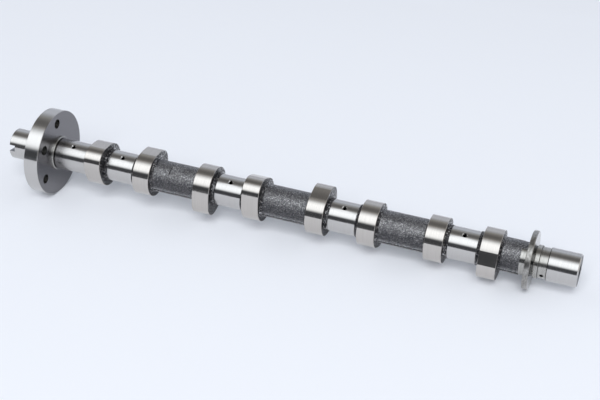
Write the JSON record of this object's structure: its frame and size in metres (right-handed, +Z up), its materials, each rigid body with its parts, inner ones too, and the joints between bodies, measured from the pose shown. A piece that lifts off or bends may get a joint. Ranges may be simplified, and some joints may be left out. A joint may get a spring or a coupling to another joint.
{
  "type": "camshaft",
  "caption": "Cast engine camshaft with cam lobes beside ground journals, a bolted drive flange, a slotted nose and a thrust collar.",
  "frame": {"origin": "on the shaft's axis, in the plane of the drive flange's inner face", "axes": "+X along the axis from the flange towards the thrust collar, +Z up through one of the flange's bolt holes, -Y towards the picture's camera"},
  "size_m": [0.463, 0.0692, 0.0692],
  "materials": {
    "cast_iron": "as cast on the barrels and lobe sides, ground on the journals and lobe faces, turned on the flange",
    "plug_steel": "turned"
  },
  "bodies": {
    "root": {"camshaft": "cast_iron", "gallery_plug": "plug_steel"}
  },
  "joints": []
}
